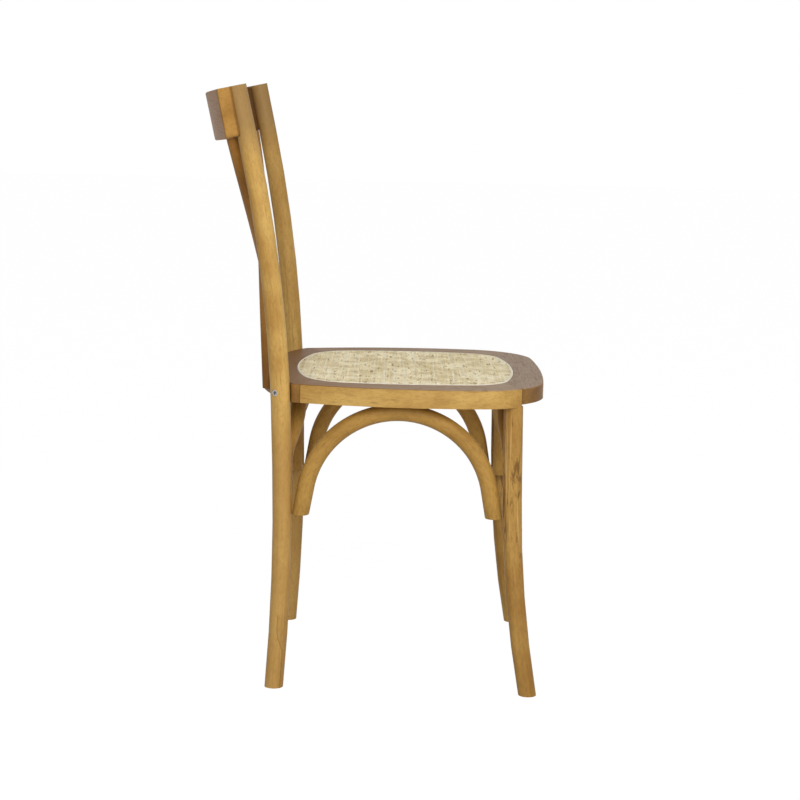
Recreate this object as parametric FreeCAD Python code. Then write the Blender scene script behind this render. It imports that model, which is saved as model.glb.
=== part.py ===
import FreeCAD, Part
import math
import os

# Cross back dining chair in bent round wood with a pressed cane seat, in millimetres.
# +Z is up and the front of the chair faces -Y. The sitter's right is -X. The origin is on
# the floor, under the middle of the chair's bounding box.

Vec = FreeCAD.Vector

# Overall sizes
overall_height = 880.0       # floor to the front top edge of the posts
seat_top = 454.0             # floor to the top of the wooden seat ring
seat_thickness = 27.0

# Rear posts: rear leg and back post in one bent rod
rear_foot_diameter = 27.5
rear_seat_diameter = 28.6
rear_top_diameter = 27.6
rear_post_inset = 38.0       # post centre inwards of the seat's widest point
rear_post_from_edge = 38.4   # post centre forward of the seat's rear edge, at the underside
rear_lean = 1.8              # degrees that the straight part leans back
rear_kick = 18.0             # how far the foot swings back
rear_kick_start = 330.0      # height at which the swing begins
rake_start = 400.0           # the back's bend begins under the seat
rake_end = 805.0             # and ends under the crest rail
rake_angle = 12.4            # degrees that the top of the post leans back
splay_start = 400.0          # the posts spread sideways above this height
splay_end = 560.0
splay_angle = 4.4            # degrees that each post spreads outwards

# Front legs
front_foot_diameter = 26.5
front_top_diameter = 28.0
front_leg_inset = 40.0       # leg centre inwards of the seat's widest point
front_leg_from_edge = 51.8   # leg centre behind the seat's front edge
front_lean = 1.0             # degrees that the straight part leans forward to the floor
front_splay = 1.3            # degrees that the straight part spreads outwards to the floor
front_kick = 25.0            # how far the foot swings forward
front_kick_out = 8.0         # how far the foot swings outwards
front_kick_start = 290.0
tenon_diameter = 19.0
tenon_length = 18.0

# Seat ring outline, seen from above
seat_half_width = 227.0
seat_length = 427.3
seat_rear_y = 221.0
seat_widest_share = 0.4125   # the widest point's share of the length, from the front
seat_side_radius = 640.0
seat_front_radius = 1600.0
seat_rear_bow = 1.652        # radius of the rear edge as a share of the half width
seat_front_corner = 108.0
seat_rear_corner = 8.0
seat_edge_ease = 2.5
front_rail_rise = 4.0        # the front rail is thinner at its underside
front_joint_from_edge = 33.3   # where the joints meet the outer edge
front_joint_angle = 24.0     # degrees that the joint turns towards the opening
rear_joint_from_edge = 66.5
rear_joint_angle = 19.0
tongue_length = 30.0         # loose tongue in each joint of the ring
tongue_width = 24.0
tongue_thickness = 8.0
front_tongue_gap = 20.9      # from the leg's centre inwards to the tongue
rear_tongue_gap = 8.6        # from the post's centre inwards to the tongue

# Cane seat: outline of the groove's outer wall, seen from above
side_border = 48.0           # wood outside the groove
front_border = 43.0
rear_border = 52.5
cane_widest_share = 0.5
cane_side_radius = 640.0
cane_front_radius = 540.0
cane_rear_radius = 455.0
cane_front_corner = 62.0
cane_rear_corner = 80.0
groove_depth = 6.5
bead_width = 4.2
bead_proud = 1.6
cane_thickness = 1.2
opening_margin = 14.0        # wood between the groove and the opening
mesh_columns = 9             # openings across the cane
mesh_open_share = 0.56       # share of the pitch that an opening takes
mesh_border = 3.0            # cane left whole inside the bead

# Crest rail: a bowed board let into the backs of the posts
crest_height = 70.5
crest_thickness = 20.0
crest_front_radius = 766.0
crest_let_in = 7.8           # depth of the housing at the post's outer side
crest_edge_ease = 1.2
crest_corner_round = 7.0

# Cross rods
rod_diameter = 18.0
rod_set_back = 22.5          # rod centre behind the post centre
rod_top_x = 200.0
rod_bottom_x = 105.0
rod_bottom_z = 433.0
cross_height = 612.0
rod_top_slope = 0.45         # sideways run per unit of drop
rod_cross_slope = 1.25
rod_tenon_diameter = 10.0
rod_tenon_length = 15.0

# Bentwood braces under the seat
arch_diameter = 25.0
arch_end_height = 20.0       # middle of the brace's end above its foot
side_arch_foot_z = 261.0
end_arch_foot_z = 257.0      # feet of the front and rear braces
arch_flare_angle = 10.0      # degrees that the straight ends turn outwards
arch_gap = 0.25              # between the brace and the leg beside it
arch_steps = 6               # stations along each bend
end_arch_corner = 120.0      # bend radius of the front and rear braces
arch_sway_low = 335.0        # the shoulders swing towards the crown between these heights
arch_sway_high = 400.0
front_arch_top_back = 6.5    # crown of the front brace behind the leg's centre
rear_arch_top_forward = 20.1   # crown of the rear brace in front of the post's centre

# Fasteners
post_bolt_angle = 33.0       # degrees behind the sideways direction
post_bolt_diameter = 6.0
post_bolt_length = 64.0
post_bolt_head_diameter = 9.6
post_bolt_head_height = 6.0
post_bolt_head_sink = 4.5
post_bolt_socket = 5.0
nut_width = 13.0             # square nut in a slot under the seat
nut_thickness = 6.5
nut_reach = 54.0             # nut centre from the post centre
hole_clearance = 0.1
bolt_head_clearance = 0.4
blind_depth = 1.5            # room left beyond the end of a tenon or bolt
overlap = 2.0                # depth that joined and cut shapes share
post_clearance = 0.15
seat_margin = 3.0            # a post runs straight this far above and below the seat
bend_pitch = 83.0            # largest step between stations along a bend of a post or leg
rod_pitch = 36.0             # the same for a cross rod
rod_straight = 24.0          # straight length of a cross rod, each way from its joints

# Derived levels and places
seat_under = seat_top - seat_thickness
seat_middle = seat_top - seat_thickness / 2
seat_front_y = seat_rear_y - seat_length
seat_rear_radius = seat_half_width * seat_rear_bow
seat_widest_y = seat_front_y + seat_length * seat_widest_share
rear_half_track = seat_half_width - rear_post_inset
rear_leg_y = seat_rear_y - rear_post_from_edge
front_half_track = seat_half_width - front_leg_inset
front_leg_y = seat_front_y + front_leg_from_edge
front_joint_y = seat_front_y + front_joint_from_edge
rear_joint_y = seat_rear_y - rear_joint_from_edge
cane_half_width = seat_half_width - side_border
cane_front_y = seat_front_y + front_border
cane_rear_y = seat_rear_y - rear_border
cane_widest_y = cane_front_y + (cane_rear_y - cane_front_y) * cane_widest_share
whole_chair = overall_height * 2
lean_slope = math.tan(math.radians(rear_lean))
rake_slope = math.tan(math.radians(rake_angle))
splay_slope = math.tan(math.radians(splay_angle))
post_top_z = overall_height - rear_top_diameter / 2 * math.sin(math.radians(rake_angle))


def bend(height, start, end, slope):
    """Sideways offset of a rod that is straight, then bends, then is straight again."""
    if height <= start:
        return 0.0
    if height <= end:
        return slope * (height - start) ** 2 / (2 * (end - start))
    return slope * ((end - start) / 2 + height - end)


def kick(height, start, size):
    """Offset of a foot that swings out below a start height."""
    return size * (max(0.0, start - height) / start) ** 2


def rear_centre(height):
    """Centre of the left rear post at a height."""
    x = rear_half_track + bend(height, splay_start, splay_end, splay_slope)
    y = rear_leg_y + lean_slope * (height - seat_under)
    y += bend(height, rake_start, rake_end, rake_slope - lean_slope)
    y += kick(height, rear_kick_start, rear_kick)
    return Vec(x, y, height)


def front_centre(height):
    """Centre of the left front leg at a height."""
    drop = seat_under - height
    x = front_half_track + drop * math.tan(math.radians(front_splay))
    x += kick(height, front_kick_start, front_kick_out)
    y = front_leg_y - drop * math.tan(math.radians(front_lean))
    y -= kick(height, front_kick_start, front_kick)
    return Vec(x, y, height)


def eased_run(height, high, low, x_high, x_low, slope_high, slope_low):
    """Smooth sideways run of a cross rod between two heights, with a slope at each end."""
    span = high - low
    t = (high - height) / span
    start_weight = 2 * t ** 3 - 3 * t ** 2 + 1
    end_weight = 3 * t ** 2 - 2 * t ** 3
    start_pull = (t ** 3 - 2 * t ** 2 + t) * span * slope_high
    end_pull = (t ** 3 - t ** 2) * span * slope_low
    return start_weight * x_high + end_weight * x_low + start_pull + end_pull


def rod_centre(height):
    """Centre of the rod that starts at the right post and ends at the seat's left."""
    if height > rod_top_z:
        x = (height - rod_top_z) * -rod_top_slope - rod_top_x
    elif height > cross_height:
        x = eased_run(height, rod_top_z, cross_height, -rod_top_x, 0.0,
                      rod_top_slope, rod_cross_slope)
    elif height > rod_bottom_z:
        x = eased_run(height, cross_height, rod_bottom_z, 0.0, rod_bottom_x,
                      rod_cross_slope, 0.0)
    else:
        x = rod_bottom_x
    return Vec(x, rear_centre(height).y + rod_set_back, height)


def direction(centre, height):
    """Unit tangent of a centre line at a height."""
    step = 0.5
    run = centre(height + step) - centre(height - step)
    return run.normalize()


def mix(low, high, share):
    return low + (high - low) * min(1.0, max(0.0, share))


def tube(stations):
    """Round rod through stations, each a centre, a direction and a radius."""
    rings = []
    for centre, way, radius in stations:
        ring = Part.Wire([Part.makeCircle(radius)])
        turn = FreeCAD.Rotation(Vec(0, 1, 0), Vec(0, 0, 0), way, "ZXY")
        ring.Placement = FreeCAD.Placement(centre, turn)
        rings.append(ring)
    return Part.makeLoft(rings, True, True)


def spread(low, high, pitch):
    """Levels from low to high, evenly spaced and no further apart than the pitch."""
    steps = math.ceil((high - low) / pitch)
    return [low + (high - low) * index / steps for index in range(steps + 1)]


def bent_rod(centre, radius, levels, straights=(), level_ends=()):
    """Round rod along a centre line, through a ring at each level.

    Both rings of a straight share its direction, and a level end has a ring in a flat plane.
    """
    stations = []
    for level in levels:
        way = direction(centre, level)
        for low, high in straights:
            if low <= level <= high:
                way = (centre(high) - centre(low)).normalize()
        for end, axis in level_ends:
            if level == end:
                way = axis
        stations.append((centre(level), way, radius(level)))
    return tube(stations)


def cylinder(base, axis, radius, length):
    return Part.makeCylinder(radius, length, base, axis)


def slab(origin, normal):
    """Everything on the side of a plane that the normal points to, as a large block."""
    size = whole_chair
    block = Part.makeBox(size, size, size, Vec(-size / 2, -size / 2, 0))
    turn = FreeCAD.Rotation(Vec(0, 0, 1), normal)
    block.Placement = FreeCAD.Placement(origin, turn)
    return block


def mirrored(shape):
    return shape.mirror(Vec(0, 0, 0), Vec(1, 0, 0))


def both_sides(shape):
    return [shape, mirrored(shape)]


def corner_centre(first, first_radius, second, second_radius):
    """Crossing of two circles that lies furthest from the seat's middle."""
    gap = second - first
    distance = gap.Length
    along = (distance ** 2 + first_radius ** 2 - second_radius ** 2) / (2 * distance)
    aside = math.sqrt(first_radius ** 2 - along ** 2)
    unit = gap / distance
    foot = first + unit * along
    across = Vec(-unit.y, unit.x, 0)
    options = [foot + across * aside, foot - across * aside]
    return max(options, key=lambda point: point.x)


def outline(half_width, widest_y, side_radius, front_y, front_radius, rear_y, rear_radius,
            front_corner, rear_corner, inset=0.0, level=0.0):
    """Closed outline of eight tangent arcs, symmetrical about the middle, moved inwards."""
    side = Vec(half_width - side_radius, widest_y, 0)
    front = Vec(0, front_y + front_radius, 0)
    rear = Vec(0, rear_y - rear_radius, 0)
    front_c = corner_centre(side, side_radius - front_corner, front, front_radius - front_corner)
    rear_c = corner_centre(side, side_radius - rear_corner, rear, rear_radius - rear_corner)

    def rim(centre, radius, through):
        return centre + (through - centre).normalize() * (radius - inset)

    def lift(point):
        return Vec(point.x, point.y, level)

    def flip(point):
        return Vec(-point.x, point.y, point.z)

    front_mid = Vec(0, front_y + inset, 0)
    rear_mid = Vec(0, rear_y - inset, 0)
    side_mid = Vec(half_width - inset, widest_y, 0)
    front_end = rim(front, front_radius, front_c)
    side_front = rim(side, side_radius, front_c)
    side_rear = rim(side, side_radius, rear_c)
    rear_end = rim(rear, rear_radius, rear_c)
    front_bow = rim(front_c, front_corner, front_c * 2 - (front + side) / 2)
    rear_bow = rim(rear_c, rear_corner, rear_c * 2 - (rear + side) / 2)
    arcs = [
        (flip(front_end), front_mid, front_end),
        (front_end, front_bow, side_front),
        (side_front, side_mid, side_rear),
        (side_rear, rear_bow, rear_end),
        (rear_end, rear_mid, flip(rear_end)),
        (flip(rear_end), flip(rear_bow), flip(side_rear)),
        (flip(side_rear), flip(side_mid), flip(side_front)),
        (flip(side_front), flip(front_bow), flip(front_end)),
    ]
    edges = [Part.Arc(lift(a), lift(b), lift(c)).toShape() for a, b, c in arcs]
    return Part.Wire(edges)


def seat_plate(inset, bottom, top):
    """Solid with the seat's outline between two levels."""
    wire = outline(seat_half_width, seat_widest_y, seat_side_radius, seat_front_y,
                   seat_front_radius, seat_rear_y, seat_rear_radius, seat_front_corner,
                   seat_rear_corner, inset, bottom)
    return Part.Face(wire).extrude(Vec(0, 0, top - bottom))


def cane_plate(inset, bottom, top):
    """Solid with the cane groove's outline between two levels."""
    wire = outline(cane_half_width, cane_widest_y, cane_side_radius, cane_front_y,
                   cane_front_radius, cane_rear_y, cane_rear_radius, cane_front_corner,
                   cane_rear_corner, inset, bottom)
    return Part.Face(wire).extrude(Vec(0, 0, top - bottom))


# Rear posts
def rear_radius(height):
    if height <= seat_under:
        return mix(rear_foot_diameter, rear_seat_diameter, height / seat_low) / 2
    share = (height - seat_high) / (rake_end - seat_high)
    return mix(rear_seat_diameter, rear_top_diameter, share) / 2


seat_low = seat_under - seat_margin
seat_high = seat_top + seat_margin
post_top = rear_centre(post_top_z)
crest_axis = Vec(0, rake_slope, 1).normalize()
crest_back = Vec(0, 1, -rake_slope).normalize()
crest_origin = Vec(0, post_top.y, post_top_z)
rod_top_z = rear_centre(post_top_z - crest_height).z
post_levels = spread(0.0, rear_kick_start, bend_pitch)
post_levels += [seat_low]
post_levels += spread(seat_high, rake_end, bend_pitch)
post_levels += [overall_height + rear_top_diameter]
post_straights = [(seat_low, seat_high), (rake_end, post_levels[-1])]
ground = [(0.0, Vec(0, 0, 1))]

post = bent_rod(rear_centre, rear_radius, post_levels, post_straights, ground)
post = post.cut(slab(crest_origin, crest_axis))

# Crest rail, drawn in the plane that is square to the tops of the posts
post_outer_top = post_top.x + rear_top_diameter / 2
post_outer_low = rear_centre(post_top_z - crest_height).x + rear_top_diameter / 2
crest_face_end = rear_top_diameter / 2 - crest_let_in
crest_bow = crest_front_radius - math.sqrt(crest_front_radius ** 2 - post_outer_top ** 2)


def crest_point(x, back, up):
    return crest_origin + Vec(x, 0, 0) + crest_back * back + crest_axis * up


def crest_board(extra):
    """Bowed board between two arcs; extra lets it stand past the ends of the rail."""
    half = post_outer_top + extra
    back_radius = crest_front_radius + crest_thickness
    hub = crest_face_end + crest_bow - crest_front_radius

    def on_arc(radius, x):
        return crest_point(x, hub + math.sqrt(radius ** 2 - x ** 2), -crest_height)

    front = Part.Arc(on_arc(crest_front_radius, -half), on_arc(crest_front_radius, 0),
                     on_arc(crest_front_radius, half)).toShape()
    back = Part.Arc(on_arc(back_radius, half), on_arc(back_radius, 0),
                    on_arc(back_radius, -half)).toShape()
    ends = [Part.makeLine(on_arc(crest_front_radius, side * half), on_arc(back_radius, side * half))
            for side in (1, -1)]
    wire = Part.Wire([front, ends[0], back, ends[1]])
    return Part.Face(wire).extrude(crest_axis * crest_height)


def crest_front_view():
    """The rail's shape from the front: splayed ends with rounded lower corners."""
    depth = crest_bow + crest_thickness + rear_top_diameter * 2
    corners = [crest_point(-post_outer_low, -rear_top_diameter, -crest_height),
               crest_point(post_outer_low, -rear_top_diameter, -crest_height),
               crest_point(post_outer_top, -rear_top_diameter, 0),
               crest_point(-post_outer_top, -rear_top_diameter, 0)]
    prism = Part.Face(Part.makePolygon(corners + corners[:1])).extrude(crest_back * depth)
    low = [edge for edge in prism.Edges
           if abs(edge.tangentAt(edge.FirstParameter).dot(crest_back)) > 0.99
           and (edge.CenterOfMass - crest_origin).dot(crest_axis) < -crest_height / 2]
    return prism.makeFillet(crest_corner_round, low)


crest = crest_board(crest_thickness).common(crest_front_view())
post = post.cut(crest)
long_edges = []
for edge in crest.Edges:
    if edge.Length > post_outer_low:
        long_edges.append(edge)
crest = crest.makeChamfer(crest_edge_ease, long_edges)


# Front legs with a round tenon for the seat
def front_radius(height):
    return mix(front_foot_diameter, front_top_diameter, height / front_kick_start) / 2


leg_levels = spread(0.0, front_kick_start, bend_pitch) + [seat_under]
leg_ends = ground + [(seat_under, Vec(0, 0, 1))]
front_leg = bent_rod(front_centre, front_radius, leg_levels, (), leg_ends)
front_leg_top = front_centre(seat_under)
front_leg = front_leg.fuse(cylinder(front_leg_top - Vec(0, 0, overlap), Vec(0, 0, 1),
                                    tenon_diameter / 2, tenon_length + overlap))

# Cross rods: turned down at the top for the crest rail, half-lapped where they cross
rod_levels = [rod_bottom_z - rod_straight]
rod_levels += spread(rod_bottom_z + rod_straight, cross_height - rod_straight, rod_pitch)
rod_levels += spread(cross_height + rod_straight, rod_top_z - rod_straight, rod_pitch)
rod_levels += [rod_top_z + rod_straight]
rod_straights = [(rod_levels[0], rod_bottom_z + rod_straight),
                 (cross_height - rod_straight, cross_height + rod_straight),
                 (rod_top_z - rod_straight, rod_levels[-1])]
rod = bent_rod(rod_centre, lambda height: rod_diameter / 2, rod_levels, rod_straights)
rod = rod.cut(slab(Vec(0, 0, rod_bottom_z), Vec(0, 0, -1)))
rod = rod.cut(slab(crest_point(0, 0, -crest_height), crest_axis))
rod_shoulder = rod_centre(rod_top_z)
rod_shoulder += crest_axis * ((crest_point(0, 0, -crest_height) - rod_shoulder).dot(crest_axis))
rod_tenon = cylinder(rod_shoulder - crest_axis * overlap, crest_axis, rod_tenon_diameter / 2,
                     rod_tenon_length + overlap)
rod = rod.fuse(rod_tenon)
crest_mortise = cylinder(rod_shoulder - crest_axis * overlap, crest_axis,
                         rod_tenon_diameter / 2 + hole_clearance,
                         rod_tenon_length + overlap + blind_depth)
cross_point = rod_centre(cross_height)
cross_tangent = Vec(0, direction(rear_centre, cross_height).y, 1).normalize()
cross_normal = Vec(0, cross_tangent.z, -cross_tangent.y)
shared = rod.common(mirrored(rod))
rod_right = rod.cut(shared.common(slab(cross_point, cross_normal)))
rod_left = mirrored(rod).cut(shared.common(slab(cross_point, cross_normal * -1)))

# Seat ring with its groove and opening
ring = seat_plate(0.0, seat_under, seat_top)
eased = []
for edge in ring.Edges:
    if edge.CenterOfMass.z > seat_middle and edge.BoundBox.ZLength < overlap:
        eased.append(edge)
ring = ring.makeChamfer(seat_edge_ease, eased)
ring = ring.cut(cane_plate(bead_width + opening_margin, seat_under - overlap, seat_top + overlap))
groove = cane_plate(0.0, seat_top - groove_depth, seat_top + overlap)
groove = groove.cut(cane_plate(bead_width, seat_top - groove_depth, seat_top + overlap))
ring = ring.cut(groove)

# Cane panel: the woven sheet, stretched over the opening, with a coarse grid for its weave
panel = cane_plate(bead_width, seat_top, seat_top + cane_thickness)
mesh_pitch = (cane_half_width - bead_width) * 2 / mesh_columns
mesh_side = mesh_pitch * mesh_open_share
mesh_rows = math.floor((cane_rear_y - cane_front_y) / mesh_pitch)
mesh_field = cane_plate(bead_width + mesh_border, seat_top - overlap, seat_top + overlap)
mesh_middle_y = (cane_front_y + cane_rear_y) / 2
mesh_holes = []
for column in range(mesh_columns):
    for row in range(mesh_rows):
        x = (column - (mesh_columns - 1) / 2) * mesh_pitch
        y = (row - (mesh_rows - 1) / 2) * mesh_pitch + mesh_middle_y
        corners = [Vec(x + across * mesh_side / 2, y + along * mesh_side / 2, seat_top)
                   for across in (-1, 1) for along in (-1, 1)]
        if all(mesh_field.isInside(corner, 0.01, True) for corner in corners):
            start = corners[0] - Vec(0, 0, overlap)
            mesh_holes.append(Part.makeBox(mesh_side, mesh_side, overlap * 2, start))
panel = panel.cut(mesh_holes)

# Cane bead pressed into the groove
bead = cane_plate(0.0, seat_top - groove_depth, seat_top + bead_proud)
bead = bead.cut(cane_plate(bead_width, seat_top - groove_depth, seat_top + bead_proud))


# Bentwood braces
def brace(half_span, corner_radius, foot, crown):
    """Brace across X between a foot and a crown, each a (y, z) pair.

    The feet are sawn level and flared, and the shoulders swing the crown under the seat.
    """
    flare = math.radians(arch_flare_angle)
    foot_y, foot_z = foot
    crown_y, crown_z = crown
    spring_z = crown_z - corner_radius
    rise = spring_z + corner_radius * math.sin(flare) - foot_z
    hub_x = half_span - rise * math.tan(flare) - corner_radius * math.cos(flare)

    def sway(z):
        share = mix(0.0, 1.0, (z - arch_sway_low) / (arch_sway_high - arch_sway_low))
        return foot_y + (crown_y - foot_y) * share ** 2 * (3 - 2 * share)

    half = [(half_span, foot_z, Vec(0, 0, 1))]
    for index in range(arch_steps + 1):
        angle = mix(flare, math.pi / 2, index / arch_steps)
        z = spring_z + corner_radius * math.sin(angle)
        lean = sway(z + 0.5) - sway(z - 0.5)
        way = Vec(-math.sin(angle), lean * math.cos(angle), math.cos(angle))
        half.append((hub_x + corner_radius * math.cos(angle), z, way))
    other = [(-x, z, Vec(way.x, -way.y, -way.z)) for x, z, way in half]
    if hub_x < arch_gap:
        other.pop()
    path = [(Vec(x, sway(z), z), way, arch_diameter / 2) for x, z, way in half + other[::-1]]
    return tube(path)


# A brace's end stands beside the leg, a running gap away from it
side_end_z = side_arch_foot_z + arch_end_height
brace_stand = arch_diameter / 2 + arch_gap
crown_z = seat_under - arch_diameter / 2
rear_touch_y = rear_centre(side_end_z).y - rear_radius(side_end_z)
front_touch_y = front_centre(side_end_z).y + front_radius(side_end_z)
side_middle_y = (rear_touch_y + front_touch_y) / 2
side_half_span = (rear_touch_y - front_touch_y) / 2 - brace_stand
side_brace_x = (rear_centre(side_end_z).x + front_centre(side_end_z).x) / 2


def full_round_radius(half_span):
    """Bend radius at which the two shoulders meet in one half circle."""
    flare = math.radians(arch_flare_angle)
    low = crown_z - side_arch_foot_z
    return (half_span - low * math.tan(flare)) / (
        math.cos(flare) + (math.sin(flare) - 1) * math.tan(flare))


side_brace = brace(side_half_span, full_round_radius(side_half_span), (0.0, side_arch_foot_z),
                   (0.0, crown_z))
side_brace.rotate(Vec(0, 0, 0), Vec(0, 0, 1), 90)
side_brace.translate(Vec(side_brace_x, side_middle_y, 0))

end_z = end_arch_foot_z + arch_end_height
front_foot = front_centre(end_z)
front_half_span = front_foot.x - front_radius(end_z) - brace_stand
front_brace = brace(front_half_span, end_arch_corner, (front_foot.y, end_arch_foot_z),
                    (front_leg_y + front_arch_top_back, crown_z + front_rail_rise))
rear_foot = rear_centre(end_z)
rear_half_span = rear_foot.x - rear_radius(end_z) - brace_stand
rear_brace = brace(rear_half_span, end_arch_corner, (rear_foot.y, end_arch_foot_z),
                   (rear_leg_y - rear_arch_top_forward, crown_z))

# Post bolts, each with a square nut in the rear rail
bolt_turn = math.radians(post_bolt_angle)
bolt_axis = Vec(-math.cos(bolt_turn), -math.sin(bolt_turn), 0)
bolt_centre = rear_centre(seat_middle)
bolt_seat = bolt_centre - bolt_axis * (rear_radius(seat_middle) - post_bolt_head_sink)
bolt_head = bolt_seat - bolt_axis * post_bolt_head_height / 2
bolt_shoulder = bolt_head + bolt_axis * post_bolt_head_height
bolt_cap = cylinder(bolt_head, bolt_axis, post_bolt_head_diameter / 2, post_bolt_head_height)
bolt_shank = cylinder(bolt_shoulder, bolt_axis, post_bolt_diameter / 2, post_bolt_length)
socket_points = []
for corner in range(7):
    angle = math.radians(60 * corner)
    side = Vec(-bolt_axis.y, bolt_axis.x, 0) * math.cos(angle) + Vec(0, 0, 1) * math.sin(angle)
    socket_points.append(bolt_head + side * (post_bolt_socket / math.sqrt(3)))
socket_depth = post_bolt_head_height * 0.6
socket = Part.Face(Part.makePolygon(socket_points)).extrude(bolt_axis * socket_depth)
post_bolt = bolt_cap.fuse(bolt_shank).cut(socket)
bolt_hole = cylinder(bolt_shoulder - bolt_axis * rear_seat_diameter, bolt_axis,
                     post_bolt_head_diameter / 2 + bolt_head_clearance, rear_seat_diameter)
shank_hole = cylinder(bolt_head, bolt_axis, post_bolt_diameter / 2 + hole_clearance,
                      post_bolt_head_height + post_bolt_length + blind_depth)
bolt_hole = bolt_hole.fuse(shank_hole)


def nut_block(slack, low, high):
    """Block square to the bolt, as wide and thick as the nut, between two levels."""
    half = nut_width / 2 + slack
    depth = nut_thickness / 2 + slack
    centre = bolt_centre + bolt_axis * nut_reach
    side = Vec(-bolt_axis.y, bolt_axis.x, 0)
    points = []
    for across, along in ((1, 1), (-1, 1), (-1, -1), (1, -1), (1, 1)):
        point = centre + side * (half * across) + bolt_axis * (depth * along)
        points.append(Vec(point.x, point.y, low))
    return Part.Face(Part.makePolygon(points)).extrude(Vec(0, 0, high - low))


nut_low = seat_middle - nut_width / 2
nut_high = seat_middle + nut_width / 2
nut = nut_block(0.0, nut_low, nut_high).cut(shank_hole)
nut_slot = nut_block(hole_clearance, seat_under - overlap, nut_high + hole_clearance)

# Seat joints, each with a loose tongue inside
def joint_line(outer_y, angle, forward):
    """Outer end of a joint and its direction towards the opening, on the left side."""
    outer_x = seat_half_width - seat_side_radius + math.sqrt(
        seat_side_radius ** 2 - (outer_y - seat_widest_y) ** 2)
    turn = math.radians(angle)
    return Vec(outer_x, outer_y, 0), Vec(-math.cos(turn), forward * math.sin(turn), 0)


def beyond(start, way, forward):
    """Block on the far side of a joint, which covers the end rail on one side."""
    outer = start - way * seat_half_width
    inner = start + way * seat_half_width * 2
    away = Vec(0, forward * seat_half_width * 2, 0)
    points = [outer, inner, inner - away, outer - away]
    lifted = [point + Vec(0, 0, seat_under - overlap) for point in points]
    face = Part.Face(Part.makePolygon(lifted + lifted[:1]))
    return face.extrude(Vec(0, 0, seat_thickness + overlap * 2))


front_start, front_way = joint_line(front_joint_y, front_joint_angle, 1)
rear_start, rear_way = joint_line(rear_joint_y, rear_joint_angle, -1)
front_block = beyond(front_start, front_way, 1)
rear_block = beyond(rear_start, rear_way, -1)
front_zone = front_block.common(mirrored(front_block))
rear_zone = rear_block.common(mirrored(rear_block))
seat_front = ring.common(front_zone)
seat_front = seat_front.common(slab(Vec(0, 0, seat_under + front_rail_rise), Vec(0, 0, 1)))
seat_rear = ring.common(rear_zone)
sides = ring.cut(front_zone.fuse(rear_zone))
seat_side_left = sides.common(slab(Vec(0, 0, 0), Vec(1, 0, 0)))

tongues = []
tongue_slots = []
for start, way, track, gap in ((front_start, front_way, front_half_track, front_tongue_gap),
                               (rear_start, rear_way, rear_half_track, rear_tongue_gap)):
    across = Vec(-way.y, way.x, 0)
    inset = gap + (track - start.x) / way.x
    for half_width, solids in ((tongue_width / 2, tongues),
                               (tongue_width / 2 + hole_clearance, tongue_slots)):
        slack = half_width - tongue_width / 2
        near = start + way * (inset - slack)
        far = start + way * (inset + tongue_length + slack)
        corners = [near - across * half_width, far - across * half_width,
                   far + across * half_width, near + across * half_width]
        bottom = Vec(0, 0, seat_middle - tongue_thickness / 2)
        face = Part.Face(Part.makePolygon([corner + bottom for corner in corners + corners[:1]]))
        solids += both_sides(face.extrude(Vec(0, 0, tongue_thickness)))

# The posts stand in scooped corners of the seat, and the rods are lapped on its rear edge
post_room = bent_rod(rear_centre, lambda height: rear_radius(height) + post_clearance,
                     [seat_low, seat_high], post_straights)
post_rooms = both_sides(post_room)
mortise = cylinder(front_leg_top - Vec(0, 0, overlap), Vec(0, 0, 1),
                   tenon_diameter / 2 + hole_clearance, tenon_length + overlap + blind_depth)
lap_tool = seat_plate(0.0, seat_under, seat_top)

seat_rear = seat_rear.cut(post_rooms + both_sides(bolt_hole) + both_sides(nut_slot)
                          + tongue_slots)
seat_front = seat_front.cut(both_sides(mortise) + tongue_slots)
seat_side_left = seat_side_left.cut([mortise, post_room] + tongue_slots)
post = post.cut(bolt_hole)
crest = crest.cut(both_sides(crest_mortise))
rod_right = rod_right.cut(lap_tool)
rod_left = rod_left.cut(lap_tool)

nodes = {
    "rear_post_left": [post],
    "rear_post_right": [mirrored(post)],
    "front_leg_left": [front_leg],
    "front_leg_right": [mirrored(front_leg)],
    "crest_rail": [crest],
    "cross_rod_right_to_left": [rod_right],
    "cross_rod_left_to_right": [rod_left],
    "seat_front_rail": [seat_front],
    "seat_rear_rail": [seat_rear],
    "seat_side_rail_left": [seat_side_left],
    "seat_side_rail_right": [mirrored(seat_side_left)],
    "cane_panel": [panel],
    "cane_bead": [bead],
    "side_brace_left": [side_brace],
    "side_brace_right": [mirrored(side_brace)],
    "front_brace": [front_brace],
    "rear_brace": [rear_brace],
    "post_bolts": both_sides(post_bolt),
    "post_nuts": both_sides(nut),
    "seat_joint_tongues": tongues,
}

# The origin goes under the middle of the whole chair
everything = Part.makeCompound([solid for solids in nodes.values() for solid in solids])
box = everything.optimalBoundingBox(False, False)
shift = Vec(0, -(box.YMin + box.YMax) / 2, -box.ZMin)

os.makedirs("parts", exist_ok=True)
triangles = 0
for name, solids in nodes.items():
    moved = []
    for solid in solids:
        for single in solid.Solids:
            copy = single.copy()
            copy.translate(shift)
            moved.append(copy)
    shape = moved[0] if len(moved) == 1 else Part.makeCompound(moved)
    points, facets = shape.tessellate(0.2)
    triangles += len(facets)
    print(name, "solids", len(shape.Solids), "valid", shape.isValid(),
          "volume", round(shape.Volume), "facets", len(facets))
    shape.exportStep("parts/" + name + ".step")
print("size", round(box.XLength, 1), round(box.YLength, 1), round(box.ZLength, 1),
      "shift", round(shift.y, 2), round(shift.z, 3), "facets in all", triangles)
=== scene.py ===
import math

import bmesh
import bpy
from mathutils import Matrix, Vector


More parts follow.
